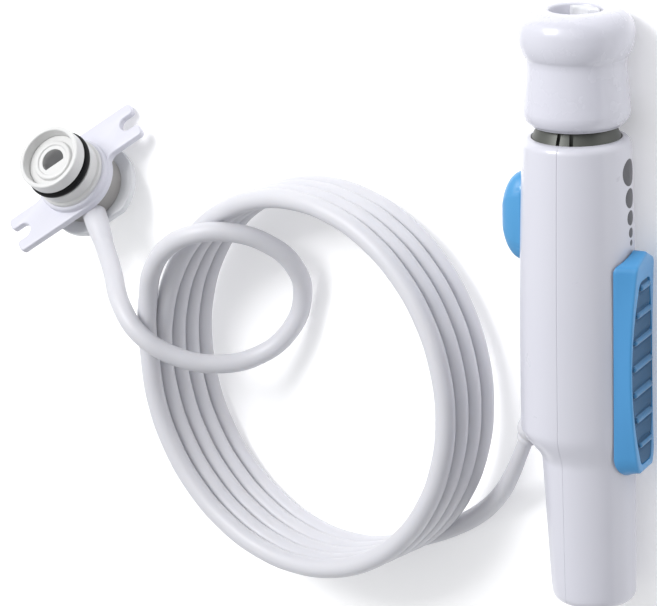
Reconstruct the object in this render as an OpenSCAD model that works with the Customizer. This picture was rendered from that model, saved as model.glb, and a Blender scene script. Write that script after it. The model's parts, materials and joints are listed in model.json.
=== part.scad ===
// Water flosser: a hand-held jet handle on a long coiled hose that ends in a plug-in bracket.
// The handle lies along +X with its tip knob at +X, the hose lies coiled beside it at +Y,
// and everything rests on the plane z = 0. All lengths are in millimetres.

/* [Handle] */
// Length of the handle with its tip knob
handle_len = 162.3; // [161:0.1:163]
// Radius of the handle's barrel at its widest
barrel_r = 15.4; // [15:0.1:15.8]
// Wall of the two handle shells
shell_wall = 2; // [1.6:0.1:2.2]
// How far the handle is rolled about its length, slider side down
handle_roll = 15; // [0:1:25]
// Widest radius of the tip knob
knob_r = 15.3; // [15:0.1:15.4]

/* [Tip socket] */
// Radius of the bore that takes a jet tip
tip_bore_r = 3.05; // [2.5:0.05:3.2]
// Radial clearance of the turning and sliding fits
fit_gap = 0.06; // [0.03:0.01:0.09]

/* [Flow slider] */
// How far the flow slider travels towards the knob
slider_travel = 16; // [10:1:16]
// Half the width of the slider
slider_half_w = 8.5; // [8.2:0.1:8.6]
// Number of ribs on the slider's pad
rib_count = 7; // [5:1:7]

/* [Eject button] */
// How far the eject button presses in
button_travel = 2.5; // [1.5:0.1:2.5]
// Height of the button's crown above the handle's axis
button_crown = 20.8; // [20:0.1:21.5]

/* [Hose] */
// Outer diameter of the hose
hose_d = 5.6; // [5.2:0.1:5.6]
// Radius of the coil, to the middle of the hose
coil_r = 53.5; // [53:0.1:54]
// Rise of the coil for each turn
coil_pitch = 5.8; // [5.6:0.1:5.8]

/* [Bracket] */
// Distance from the bracket's middle to the middle of each screw slot
slot_reach = 22.1; // [21:0.1:22.5]
// Radius of each screw slot's round end
slot_r = 2.3; // [2.1:0.1:2.4]
// Radius of the plug-in spigot
spigot_r = 9.9; // [9.5:0.1:10]
// Height of the spigot's face above the plate
spigot_h = 15; // [14.5:0.1:16]

/* [Hidden] */
$fn = 48;

// Places of the handle's features along X
base_x = -80.5;
knob_top_x = base_x + handle_len;
barrel_top_x = 47.9;
rim_x = barrel_top_x - 2.2;
// Lower end of the neck collar, and of the knob's skirt
collar_x = barrel_top_x - 3.2;
skirt_x = 51.2;
shoulder_x = -37.5;
axis_h = barrel_r;
handle_y = -0.3;
// Longer than any cut, and the depth of the dots
big = 200;
skin = 0.4;

// Barrel: straight below, drawn in slightly towards the neck
barrel_taper = 1;
taper_from_x = -10;
taper_span = 54;
function barrel_at(x) = barrel_r - barrel_taper * pow(max(0, x - taper_from_x) / taper_span, 2);

// Grip below the shoulder: a cone that leans forward so that the front stays straight
grip_top_r = 12.6;
grip_base_r = 11.3;
grip_top_y = -2.9;
grip_base_y = -4.3;
grip_round = 2.6;
grip_len = shoulder_x - base_x - 0.4;
grip_lean = atan((grip_top_y - grip_base_y) / (shoulder_x - base_x));

// Slider, in its rest place at the low-flow end
slider_x0 = -43;
slider_x1 = 18.4;
slider_mid = (slider_x0 + slider_x1) / 2;
slider_under = 15.7;
slider_top = 19.5;
slider_lean = 0.3;
saddle_low = 18.1;
saddle_r = 330;
pad_floor = 16.8;
stem_x0 = -18;
stem_len = 10;
stem_half_w = 2.5;
stem_in = 11.8;
stem_out = 16.6;
rib_first_x = -34;
rib_step = 7.15;
rib_r = 0.85;
pad_mid_x = -14.5;
pad_half_len = 25.2;
pad_half_w = 7.6;
pad_end_w = 3.5;
pad_curve_r = 80;

// Valve, on its own axis inside the handle
valve_y = -4;
valve_r = 5.5;
spool_r = 3;
valve_x0 = -40;
valve_x1 = -10;
flange_x = -33.5;
spool_grooves = [-35.5, -29.5];

// Turning socket under the knob
socket_r = 5;
seat_x0 = 30;
seat_x1 = 40;
collar_r = 11.2;
clip_x = collar_x + 1.1;
outlet_y = 1.5;
outlet_z = -6.5;
outlet_r = 2.4;

// Button
button_mid_x = 25.2;
button_half_len = 12;
button_half_w = 5.6;
button_in = 10.6;
latch_in = 9.4;
spring_x = 22;
spring_seat_y = 1;

// Inlet line inside the handle: from the gland to the valve, at a slope of 3 in 4
inlet_start = [-32, 11.6, 0];
inlet_slope = atan2(-3, 4);
inlet_len = 9;

// Gland where the hose leaves the handle
gland_pos = [-34, 13.2, 0];
gland_r = 3.7;
gland_reach = 4.6;
exit_tilt = 103;
exit_turn = 145;

// Dots beside the slider: place along X and diameter
dots = [[39.2, 7.2], [32.3, 5.3], [27, 4], [23, 2.7], [20.3, 1.6]];

// Bracket, lying on its nut and one arm
bracket_pos = [11, 181.5, 17.8];
bracket_turn = [-15, 34, -34];
plate_t = 2.5;
arm_turn = -15;
arm_tip = 3.2;
arm_round = 1.8;
arm_fillet = 3.5;
boss_r = 11.5;
seal_z = 9;
recess_z = 10.8;
boss_h = 2;
stem_body_r = 10.9;
stem_body_end = -8.8;
nut_r = 14.6;
nut_flat = 13;
nut_end = -11.3;
elbow_angle = -109;
elbow_z = -5.7;
elbow_reach = 21;

// Coil and hose routes
hose_r = hose_d / 2;
coil_mid = [-35, 91];
coil_turns = 4 + 1 / 3;
coil_h = coil_pitch * coil_turns + hose_d;
tube_sides = 10;
coil_start = 210;
coil_end = coil_start - 360 * coil_turns;
// Places that the hose passes before the coil and after it
lead_places = [
    [-37.5, 15, 18], [-45, 20, 15], [-53, 26, 11], [-61, 33, 7], [-69, 42, 4], [-76, 53, 3]
];
loop_places = [
    [-26, 145, 28], [-17, 144, 28], [-8, 140, 30], [0, 133, 31], [5, 124, 30], [6, 115, 25],
    [2, 107, 17], [-6, 103, 10], [-16, 104, 6], [-26, 108, 7], [-34, 116, 12], [-36, 125, 21],
    [-33, 134, 29], [-27, 142, 34], [-20, 150, 33], [-12, 160, 26], [-5.5, 167.5, 21.5]
];
lead_route = concat(lead_places, [coil_place(coil_start, hose_r)]);
loop_route = concat([coil_place(coil_end, hose_r + coil_pitch * coil_turns)], loop_places);

// ---------------------------------------------------------------- shared shapes

module in_handle() translate([0, handle_y, axis_h]) rotate([handle_roll, 0, 0]) children();
module in_bracket() translate(bracket_pos) rotate(bracket_turn) children();

// A cylinder along X from x0 to x1, on the line (y, z)
module rod(x0, x1, r, y = 0, z = 0)
    translate([x0, y, z]) rotate([0, 90, 0]) cylinder(h = x1 - x0, r = r);

// A ring along X
module ring(x0, x1, r_in, r_out) difference() {
    rod(x0, x1, r_out);
    rod(x0 - 1, x1 + 1, r_in);
}

// Turns an outline of [radius, x] points about the handle's axis
module spin(points) rotate([0, 90, 0]) rotate_extrude() polygon(points);

// A box given by its ranges in x, y and z
module span(x0, x1, y0, y1, z0, z1)
    translate([x0, y0, z0]) cube([x1 - x0, y1 - y0, z1 - z0]);

// An outline in (x, z), raised towards the front from height f0 to f1
module raised(f0, f1) translate([0, -f0, 0]) rotate([90, 0, 0]) linear_extrude(f1 - f0) children();

// An outline in (x, z), raised towards the back from height f0 to f1
module raised_back(f0, f1) translate([0, f1, 0]) rotate([90, 0, 0]) linear_extrude(f1 - f0) children();

function arc(c, r, a0, a1, n) =
    [for (i = [0:n]) [c.x + r.x * cos(a0 + (a1 - a0) * i / n), c.y + r.y * sin(a0 + (a1 - a0) * i / n)]];

function coil_place(angle, z) = [coil_mid.x + coil_r * cos(angle), coil_mid.y + coil_r * sin(angle), z];
function unit(v) = v / norm(v);
function way(p, i) = unit(p[min(i + 1, len(p) - 1)] - p[max(i - 1, 0)]);
function side_of(t) = unit(cross(t, [0, 0, 1]));
function ring_at(p, i, r, sides) =
    let (t = way(p, i), s = side_of(t), u = cross(s, t))
    [for (k = [0:sides - 1]) p[i] + r * (cos(360 * k / sides) * s + sin(360 * k / sides) * u)];

// A round tube along a list of points
module tube(route, r, sides) {
    rings = len(route);
    points = [for (i = [0:rings - 1]) each ring_at(route, i, r, sides)];
    walls = [for (i = [0:rings - 2], k = [0:sides - 1])
        let (a = i * sides + k, b = i * sides + (k + 1) % sides)
        each [[a, b, b + sides], [a, b + sides, a + sides]]];
    first_cap = [for (k = [sides - 1:-1:0]) k];
    last_cap = [for (k = [0:sides - 1]) (rings - 1) * sides + k];
    polyhedron(points, concat(walls, [first_cap, last_cap]));
}

// ---------------------------------------------------------------- handle shells

function barrel_outline(d) = concat(
    [[0, shoulder_x - d], [grip_top_r - 0.4 + d, shoulder_x - d]],
    arc([12.4, -33.5], [barrel_r - 12.4 + d, 4 + d], -80, 0, 5),
    [for (x = [-10, 4, 16, 28, 38]) [barrel_at(x) + d, x]],
    arc([barrel_at(rim_x) - 2, rim_x], [2 + d, 2.2 + d], 0, 90, 5),
    [[0, barrel_top_x + d]]);

// The grip's cone, grown by d all round
module grip(d) translate([shoulder_x, grip_top_y, 0]) rotate([0, 0, grip_lean]) mirror([1, 0, 0])
    rotate([0, 90, 0]) rotate_extrude()
    polygon(concat(
        [[0, -6], [grip_top_r + 0.15 + d, -6]],
        arc([grip_base_r - grip_round, grip_len - grip_round], [grip_round + d, grip_round + d], 0, 90, 5),
        [[0, grip_len + d]]));

module gland_shape(grow) {
    sphere(r = gland_r + grow);
    cylinder(h = gland_reach, r = 3.3 + grow);
}

// The gland's frame: its +Z is the way the hose leaves
module at_gland() translate([0, handle_y, axis_h])
    translate([gland_pos.x, gland_pos.y * cos(handle_roll), gland_pos.y * sin(handle_roll)])
    rotate([0, exit_tilt, exit_turn]) children();

module shell_solid() difference() {
    union() {
        spin(barrel_outline(0));
        grip(0);
    }
    spin(concat([[0, shoulder_x + 3]],
        [for (x = [shoulder_x + 3, -10, 4, 16, 28, 38, barrel_top_x - 2]) [barrel_at(x) - shell_wall, x]],
        [[0, barrel_top_x - 2]]));
    grip(-shell_wall);
    rod(40, big, collar_r + 0.15);
}

module dot_drills() for (d = dots) translate([d.x, 0, 0]) rotate([90, 0, 0]) cylinder(h = 30, d = d.y);

module front_shell() color([0.9, 0.9, 0.94]) in_handle() difference() {
    intersection() {
        shell_solid();
        span(-big, big, -big, 0, -big, big);
    }
    difference() {
        dot_drills();
        spin(barrel_outline(-skin));
    }
    slot_len = stem_len + slider_travel + 1;
    translate([stem_x0 - 0.5, -30, -stem_half_w - 0.4]) cube([slot_len, 22, 2 * stem_half_w + 0.8]);
}

module back_shell() color([0.91, 0.91, 0.95]) difference() {
    in_handle() difference() {
        intersection() {
            shell_solid();
            span(-big, big, 0, big, -big, big);
        }
        raised_back(8, 30) button_outline(0.4);
    }
    at_gland() gland_shape(0);
    in_handle() on_inlet(-1) rod(0, 12, 2.8);
}

module neck_collar() color([0.5, 0.52, 0.5]) in_handle() difference() {
    union() {
        ring(collar_x, skirt_x + 0.5, 9.4, collar_r);
        ring(collar_x, collar_x + 1.1, 9.4, 12.2);
        ring(collar_x + 2.2, collar_x + 3.7, socket_r + fit_gap, 10);
    }
    for (half = [0, 180], a = [4, 22]) rotate([half + a, 0, 0]) span(barrel_top_x, big, -0.6, 0.6, 10.4, 12);
}

module flow_dots() color([0.33, 0.33, 0.35]) in_handle() difference() {
    intersection() {
        spin(barrel_outline(0));
        dot_drills();
    }
    spin(barrel_outline(-skin));
}

// ---------------------------------------------------------------- water path in the handle

module on_inlet(from) translate(inlet_start) rotate([0, 0, inlet_slope]) translate([from, 0, 0]) children();

module valve_body() color([0.85, 0.87, 0.8]) in_handle() difference() {
    union() {
        rod(valve_x0, valve_x1, valve_r, valve_y);
        rod(-30, -24, 3.7, outlet_y, outlet_z);
        on_inlet(10.2) rod(0, 10, 3.4);
        intersection() {
            rod(flange_x, flange_x + 1.5, 13.1);
            span(flange_x - 1, flange_x + 3, -big, 5.5, -big, big);
        }
    }
    rod(valve_x0 + 2, valve_x1 + 1, spool_r + fit_gap, valve_y);
    on_inlet(0) rod(9, 16, 2);
    on_inlet(0) rod(15, 24, 1.2);
    rod(-28, -23, 1.5, outlet_y, outlet_z);
    translate([-27, outlet_y, outlet_z]) rotate([atan2(outlet_y - valve_y, -outlet_z), 0, 0])
        cylinder(h = 7, r = 1);
}

module inlet_barb() color([0.8, 0.68, 0.4]) in_handle() on_inlet(0) difference() {
    union() {
        rod(4, inlet_len, 1.6);
        rod(inlet_len, 10.2, 3.2);
        rod(10.2, 16, 2);
    }
    rod(3, 17, 0.9);
}

module inlet_tube() color([0.93, 0.93, 0.95]) in_handle() on_inlet(0) ring(0, inlet_len, 1.6, 2.8);

module outlet_tube() color([0.8, 0.82, 0.85]) in_handle() difference() {
    rod(-24, seat_x0, outlet_r, outlet_y, outlet_z);
    rod(-25, seat_x0 + 1, 1.5, outlet_y, outlet_z);
}

module socket_seat() color([0.82, 0.84, 0.8]) in_handle() difference() {
    union() {
        rod(seat_x0, seat_x1, 9.6);
        rod(31, 33, 12.3);
        span(18, seat_x0 + 1, spring_seat_y - 1.5, spring_seat_y, -3.5, 3.5);
    }
    span(seat_x0 - 1, seat_x1 + 1, 6.4, 20, -20, 20);
    rod(33.6, seat_x1 + 1, socket_r + fit_gap);
    rod(31.5, 34, 2.2);
    rod(seat_x0 - 1, 32.5, 1.5, outlet_y, outlet_z);
    translate([32, outlet_y, outlet_z]) rotate([atan2(outlet_y, -outlet_z), 0, 0]) cylinder(h = 6, r = 0.9);
}

// The bead that holds the hose, moulded round it where it leaves the handle
module hose_gland() color([0.88, 0.88, 0.9]) difference() {
    at_gland() gland_shape(0);
    in_handle() on_inlet(-1) rod(0, 20, 2.8);
}

function coil_point(t, turns, r, h) = [r * cos(360 * turns * t), r * sin(360 * turns * t), h * t];

module eject_spring() color([0.7, 0.7, 0.72]) in_handle()
    translate([spring_x, spring_seat_y + 0.35, 0]) rotate([-90, 0, 0])
    spring_wire([for (i = [0:60]) coil_point(i / 60, 5, 2.3, latch_in - spring_seat_y - 0.7)], 0.3, 6);

// A wire along a helix about Z
module spring_wire(route, r, sides) {
    rings = len(route);
    points = [for (p = route, k = [0:sides - 1])
        let (out = unit([p.x, p.y, 0]))
        p + r * (cos(360 * k / sides) * out + sin(360 * k / sides) * [0, 0, 1])];
    walls = [for (i = [0:rings - 2], k = [0:sides - 1])
        let (a = i * sides + k, b = i * sides + (k + 1) % sides)
        each [[a, b, b + sides], [a, b + sides, a + sides]]];
    first_cap = [for (k = [sides - 1:-1:0]) k];
    last_cap = [for (k = [0:sides - 1]) (rings - 1) * sides + k];
    polyhedron(points, concat(walls, [first_cap, last_cap]));
}

// ---------------------------------------------------------------- turning knob

dome_mid = [knob_r - 5.85, 75.4];
function knob_outline() = concat(
    [[socket_r, 61], [11.6, 61], [11.6, skirt_x + 0.4], [11.9, skirt_x]],
    arc([10.8, skirt_x + 4.2], [3.45, 4.2], -65, 0, 6),
    [[13.95, 60], [13.45, 64.5], [13.15, 67], [13.1, 68.2]],
    arc(dome_mid, [5.85, 8.5], -52, 0, 6),
    arc(dome_mid, [5.85, knob_top_x - dome_mid.y], 8, 90, 7),
    [[6.8, knob_top_x - 0.1], [6.2, knob_top_x - 0.6], [socket_r, 79.3]]);

module tip_knob() color([0.9, 0.9, 0.94]) in_handle() spin(knob_outline());

module tip_socket() color([0.86, 0.87, 0.9]) in_handle() difference() {
    union() {
        rod(34, 79.6, socket_r);
        rod(collar_x + 4, collar_x + 5.1, 8);
    }
    rod(38, big, tip_bore_r);
    rod(33, 39, 1.3);
    ring(35.4, 37, 3.9, 6);
    ring(clip_x, clip_x + 0.9, 4.4, 6);
}

module socket_seal() color([0.12, 0.12, 0.12]) in_handle() ring(35.45, 36.95, 3.9, socket_r + 0.03);

module socket_clip() color([0.7, 0.7, 0.72]) in_handle() difference() {
    ring(clip_x, clip_x + 0.9, 4.4, 7.2);
    span(clip_x - 1, clip_x + 2, -1.6, 1.6, 0, 10);
}

// ---------------------------------------------------------------- eject button

module button_outline(grow) {
    reach = button_half_len - button_half_w;
    for (s = [-1, 1]) translate([button_mid_x + s * reach, 0]) circle(r = button_half_w + grow);
    translate([button_mid_x - reach, -button_half_w - grow]) square([2 * reach, 2 * (button_half_w + grow)]);
}

module eject_button() color([0.3, 0.62, 0.85]) in_handle() {
    intersection() {
        raised_back(button_in, button_crown + 1) button_outline(0);
        translate([button_mid_x, 0, -20]) linear_extrude(40)
            polygon(concat([[-13, 5], [13, 5]],
                arc([0, 14.4], [button_half_len + 0.4, button_crown - 14.4], 0, 180, 20)));
    }
    for (s = [-1, 1]) translate([button_mid_x + s * 12.4, 0, 0]) span(-1.6, 1.6, button_in, 11.7, -3, 3);
}

module eject_latch() color([0.88, 0.88, 0.86]) in_handle() intersection() {
    union() {
        span(17.5, 42.2, latch_in, button_in, -3, 3);
        difference() {
            span(41, 42.2, -6, button_in, -8, 8);
            span(40, 43, -7, 8.2, -5.5, 5.5);
        }
    }
    rod(10, 50, 11.9);
}

// ---------------------------------------------------------------- flow slider

module slider_outline() polygon(concat(
    [[slider_x1, 0], [slider_x1 - 2.8, slider_half_w - 0.6], [slider_x1 - 3.6, slider_half_w]],
    arc([slider_x0 + 5, slider_half_w - 5], [5, 5], 90, 180, 6),
    arc([slider_x0 + 5, 5 - slider_half_w], [5, 5], 180, 270, 6),
    [[slider_x1 - 3.6, -slider_half_w], [slider_x1 - 2.8, 0.6 - slider_half_w]]));

function pad_w(x) = pad_half_w - pow(x - pad_mid_x, 2) / (2 * pad_curve_r);
pad_steps = [-1, -0.97, -0.75, -0.5, -0.25, 0, 0.25, 0.5, 0.75, 0.97, 1];
function pad_side(s) = [for (i = [0:10])
    let (k = s * pad_steps[i], x = pad_mid_x + k * pad_half_len)
    [x, s * (abs(k) == 1 ? pad_end_w - 0.5 : pad_w(x))]];
module pad_outline() polygon(concat(pad_side(1), pad_side(-1)));

module saddle_cut() translate([slider_mid, -saddle_low - saddle_r, -20])
    cylinder(h = 40, r = saddle_r, $fn = 600);

module flow_slider() color([0.3, 0.62, 0.85]) in_handle() difference() {
    intersection() {
        raised(10, slider_top) slider_outline();
        rotate([90, 0, 90]) translate([0, 0, slider_x0 - 1]) linear_extrude(slider_x1 - slider_x0 + 2)
            polygon([
                [-10, -slider_half_w], [-13, -slider_half_w], [-slider_top, slider_lean - slider_half_w],
                [-slider_top, slider_half_w - slider_lean], [-13, slider_half_w], [-10, slider_half_w]]);
    }
    rod(-big, big, slider_under);
    saddle_cut();
    raised(pad_floor, 30) pad_outline();
    span(stem_x0, stem_x0 + stem_len, -stem_out, -10, -stem_half_w, stem_half_w);
}

module slider_pad() color([0.22, 0.45, 0.6]) in_handle() {
    difference() {
        raised(pad_floor, slider_top) pad_outline();
        saddle_cut();
    }
    for (i = [0:rib_count - 1]) rib(rib_first_x + i * rib_step);
}

module rib(x) {
    half = pad_w(x) - 1.6;
    f = saddle_low + pow(x - slider_mid, 2) / (2 * saddle_r) - 0.22;
    translate([x, -f, 0]) {
        translate([0, 0, -half]) cylinder(h = 2 * half, r = rib_r);
        for (s = [-1, 1]) translate([0, 0, s * half]) sphere(r = rib_r);
    }
}

module slider_carrier() color([0.88, 0.88, 0.86]) in_handle() {
    span(stem_x0, stem_x0 + stem_len, -stem_out, -stem_in, -stem_half_w, stem_half_w);
    span(-20, -4.5, -stem_in, -10.4, -5.2, 5.2);
    difference() {
        span(-7, -5.2, -10.4, valve_y + 1.8, -3, 3);
        rod(-8, -4, 1.9, valve_y);
        span(-8, -4, valve_y, 0, -1.9, 1.9);
    }
}

module valve_spool() color([0.75, 0.76, 0.78]) in_handle() difference() {
    union() {
        rod(-37, -7.2, spool_r, valve_y);
        rod(-7.2, -5, 1.85, valve_y);
        rod(-5, -3, spool_r, valve_y);
    }
    for (x = spool_grooves) translate([0, valve_y, 0]) ring(x, x + 1.4, 2.2, 4);
}

module spool_seals() color([0.12, 0.12, 0.12]) in_handle()
    for (x = spool_grooves) translate([x + 0.05, valve_y, 0]) ring(0, 1.3, 2.2, spool_r + fit_gap - 0.02);

// ---------------------------------------------------------------- bracket on the hose's far end

// One arm of the plate in its slot's own frame, with +X out along the slot
plate_r = boss_r + 0.4;
arm_root = [-slot_reach * cos(arm_turn), slot_reach * sin(arm_turn)];
arm_half_w = plate_r + arm_root.y - 0.1;
fillet_y = -arm_half_w - arm_fillet;
fillet_x = arm_root.x + sqrt(pow(plate_r + arm_fillet, 2) - pow(fillet_y - arm_root.y, 2));
fillet_to = atan2(arm_root.y - fillet_y, arm_root.x - fillet_x);

module arm_outline() translate([slot_reach, 0]) rotate([0, 0, arm_turn]) difference() {
    union() {
        polygon(concat(
            [[arm_root.x, -arm_half_w]],
            arc([arm_tip - arm_round, arm_round - arm_half_w], [arm_round, arm_round], -90, 0, 5),
            arc([arm_tip - arm_round, arm_half_w - arm_round], [arm_round, arm_round], 0, 90, 5),
            [[arm_root.x, arm_half_w]]));
        polygon(concat(
            [arm_root],
            arc([fillet_x - 0.1, fillet_y + 0.1], [arm_fillet, arm_fillet], 90, fillet_to, 6)));
    }
    circle(r = slot_r);
    translate([0, -slot_r]) square([10, 2 * slot_r]);
}

module mounting_plate() color([0.88, 0.88, 0.93]) in_bracket() difference() {
    union() {
        translate([0, 0, -plate_t]) linear_extrude(plate_t) {
            circle(r = plate_r);
            for (turn = [0, 180]) rotate([0, 0, turn]) arm_outline();
        }
        cylinder(h = boss_h, r = boss_r);
    }
    translate([0, 0, -plate_t - 1]) cylinder(h = 10, r = 8.4);
}

module water_spigot() color([0.92, 0.92, 0.9]) in_bracket() rotate_extrude() polygon([
    [4, -plate_t], [8.4, -plate_t], [8.4, boss_h], [10.6, boss_h],
    [10.6, boss_h + 1.3], [spigot_r, boss_h + 1.6],
    [spigot_r, seal_z - 1.4], [8.1, seal_z - 1.4], [8.1, seal_z + 1.4], [spigot_r, seal_z + 1.4],
    [spigot_r, spigot_h - 0.5], [spigot_r - 0.4, spigot_h], [8.8, spigot_h], [8.5, spigot_h - 0.4],
    [8.5, recess_z], [4, recess_z]]);

module spigot_o_ring() color([0.05, 0.05, 0.05]) in_bracket()
    translate([0, 0, seal_z]) rotate_extrude() translate([9.35, 0]) circle(r = 1.2);

module spigot_insert() color([0.9, 0.9, 0.87]) in_bracket() difference() {
    union() {
        translate([0, 0, recess_z]) cylinder(h = 0.8, r = 8.5);
        translate([0, 0, recess_z]) cylinder(h = 2.2, r = 5.9);
    }
    rotate([0, 0, arm_turn]) intersection() {
        translate([0, 0, 8]) cylinder(h = 8, r = 3.5);
        translate([-5, -1.6, 8]) cube([10, 10, 8]);
    }
}

// The elbow's frame: +X is the way out of the bracket's body
module at_elbow() in_bracket() rotate([0, 0, elbow_angle]) translate([0, 0, elbow_z]) children();

module bracket_body() color([0.6, 0.6, 0.6]) difference() {
    in_bracket() difference() {
        union() {
            translate([0, 0, stem_body_end]) cylinder(h = -plate_t - stem_body_end, r = stem_body_r);
            translate([0, 0, nut_end]) cylinder(h = stem_body_end - nut_end, r = 6);
        }
        translate([0, 0, -7.2]) cylinder(h = 10, r = 4);
    }
    at_elbow() rod(3, 20, 2.9);
}

module retaining_nut() color([0.85, 0.85, 0.87]) in_bracket() difference() {
    intersection() {
        translate([0, 0, nut_end]) cylinder(h = stem_body_end - nut_end, r = nut_r);
        rotate([0, 0, arm_turn]) translate([-20, -nut_flat, -20]) cube([40, 2 * nut_flat, 20]);
    }
    translate([0, 0, nut_end - 1]) cylinder(h = 10, r = 6);
}

module hose_elbow() color([0.9, 0.9, 0.93]) at_elbow() difference() {
    rotate([0, 90, 0]) rotate_extrude() polygon([
        [0, 5], [2.9, 5], [2.9, 13.9], [3.6, 14.6], [3.6, 15.5], [3.1, elbow_reach], [0, elbow_reach]]);
    rod(3, elbow_reach + 1, 1.4);
}

// ---------------------------------------------------------------- hose

module hose_lead() color([0.86, 0.86, 0.84]) tube(lead_route, hose_r, tube_sides);

module hose_coil() color([0.92, 0.92, 0.95]) translate([coil_mid.x, coil_mid.y, 0])
    rotate_extrude() translate([coil_r - hose_r, 0]) square([hose_d, coil_h]);

module hose_loop() color([0.92, 0.92, 0.95]) tube(loop_route, hose_r, tube_sides);

// ---------------------------------------------------------------- nodes

front_shell();
back_shell();
neck_collar();
flow_dots();
valve_body();
inlet_barb();
inlet_tube();
outlet_tube();
socket_seat();
hose_gland();
eject_spring();
tip_knob();
tip_socket();
socket_seal();
socket_clip();
eject_button();
eject_latch();
flow_slider();
slider_pad();
slider_carrier();
valve_spool();
spool_seals();
mounting_plate();
water_spigot();
spigot_o_ring();
spigot_insert();
bracket_body();
retaining_nut();
hose_elbow();
hose_lead();
hose_coil();
hose_loop();
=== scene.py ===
"""Water flosser: the visible meshes, materials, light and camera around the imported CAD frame.

Shapes are drawn in millimetres in two local frames that come from the record:
HANDLE has X along the handle, Y towards its back and Z towards its upper side;
BRACKET has Z along the spigot and X along the two arms of its plate.
"""
import json
import math

import bmesh
import bpy
from mathutils import Matrix, Vector


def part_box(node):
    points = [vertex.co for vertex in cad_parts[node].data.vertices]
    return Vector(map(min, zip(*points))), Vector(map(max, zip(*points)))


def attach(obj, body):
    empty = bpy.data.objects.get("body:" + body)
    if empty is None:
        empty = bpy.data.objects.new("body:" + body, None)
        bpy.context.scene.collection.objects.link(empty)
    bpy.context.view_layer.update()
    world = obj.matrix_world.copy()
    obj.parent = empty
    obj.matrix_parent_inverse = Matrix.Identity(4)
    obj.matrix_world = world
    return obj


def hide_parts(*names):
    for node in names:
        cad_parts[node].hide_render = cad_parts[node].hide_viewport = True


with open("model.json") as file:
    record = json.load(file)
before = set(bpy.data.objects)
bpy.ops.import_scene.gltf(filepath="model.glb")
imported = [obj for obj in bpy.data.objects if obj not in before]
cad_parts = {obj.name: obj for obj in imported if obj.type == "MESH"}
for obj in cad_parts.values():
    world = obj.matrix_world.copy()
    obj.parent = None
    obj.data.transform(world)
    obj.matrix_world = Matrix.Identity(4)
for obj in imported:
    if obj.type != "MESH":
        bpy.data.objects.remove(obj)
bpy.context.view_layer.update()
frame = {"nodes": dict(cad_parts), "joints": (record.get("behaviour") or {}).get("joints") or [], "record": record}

MM = 0.001
joints = {j["name"]: j for j in frame["joints"]}
mounts = {m["name"]: m for m in frame["record"]["mounts"]}


# ---------------------------------------------------------------- local frames

def frame_of(origin, x_axis, z_axis):
    """A matrix from millimetres in a local frame to metres in the row frame."""
    z = Vector(z_axis).normalized()
    x = Vector(x_axis).normalized()
    y = z.cross(x).normalized()
    x = y.cross(z)
    turn = Matrix((x, y, z)).transposed().to_4x4()
    return Matrix.Translation(origin) @ turn @ Matrix.Scale(MM, 4)


def handle_frame():
    axis_point = Vector(joints["knob_turn"]["pos_m"])
    back = -Vector(joints["eject_press"]["axis"])
    along = Vector(joints["knob_turn"]["axis"])
    return frame_of((0, axis_point.y, axis_point.z), along, along.cross(back))


def bracket_frame():
    low = Vector(mounts["screw_slot_low"]["pos_m"])
    high = Vector(mounts["screw_slot_high"]["pos_m"])
    out = Vector(mounts["spigot_land"]["axis"])
    half_plate = 0.00125
    return frame_of((low + high) / 2 + out * half_plate, low - high, out)


HANDLE = handle_frame()
BRACKET = bracket_frame()


# ---------------------------------------------------------------- small maths

def lerp(a, b, t):
    return a + (b - a) * t


def clamp(v, low=0.0, high=1.0):
    return max(low, min(high, v))


def smooth(a, b, v):
    t = clamp((v - a) / (b - a))
    return t * t * (3 - 2 * t)


def steps(a, b, spacing):
    """Evenly spaced values from a to b, both included."""
    count = max(1, round(abs(b - a) / spacing))
    return [lerp(a, b, i / count) for i in range(count + 1)]


def arc(cx, cy, rx, ry, start, end, count):
    """Points on an ellipse's arc, angles in degrees."""
    angles = [math.radians(lerp(start, end, i / count)) for i in range(count + 1)]
    return [(cx + rx * math.cos(a), cy + ry * math.sin(a)) for a in angles]


def rounded(corners, closed=True, count=6):
    """A polyline with its corners rounded. Each corner is (x, y, radius)."""
    out = []
    total = len(corners)
    for i, (x, y, radius) in enumerate(corners):
        here = Vector((x, y))
        if radius <= 0 or (not closed and i in (0, total - 1)):
            out.append((x, y))
            continue
        before = (Vector(corners[i - 1][:2]) - here).normalized()
        after = (Vector(corners[(i + 1) % total][:2]) - here).normalized()
        half = before.angle(after) / 2
        if half > math.radians(89.5):
            out.append((x, y))
            continue
        reach = radius / math.tan(half)
        middle = here + (before + after).normalized() * (radius / math.sin(half))
        first = here + before * reach - middle
        last = here + after * reach - middle
        sweep = first.angle_signed(last)
        for k in range(count + 1):
            turned = first.copy()
            turned.rotate(Matrix.Rotation(-sweep * k / count, 2))
            out.append(tuple(middle + turned))
    return out


def resampled(loop, count):
    """A closed loop of 2D points, walked in `count` equal steps from its first point."""
    points = [Vector(p) for p in loop] + [Vector(loop[0])]
    lengths = [0.0]
    for a, b in zip(points, points[1:]):
        lengths.append(lengths[-1] + (b - a).length)
    out, j = [], 0
    for i in range(count):
        want = lengths[-1] * i / count
        while lengths[j + 1] < want:
            j += 1
        t = (want - lengths[j]) / max(lengths[j + 1] - lengths[j], 1e-9)
        out.append(tuple(points[j].lerp(points[j + 1], t)))
    return out


def inset(loop, depth):
    """A closed counter-clockwise loop moved inwards along its own normals."""
    out = []
    for i, p in enumerate(loop):
        along = Vector(loop[(i + 1) % len(loop)]) - Vector(loop[i - 1])
        inwards = Vector((-along.y, along.x)).normalized()
        out.append((p[0] + inwards.x * depth, p[1] + inwards.y * depth))
    return out


# ---------------------------------------------------------------- mesh tools

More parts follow.
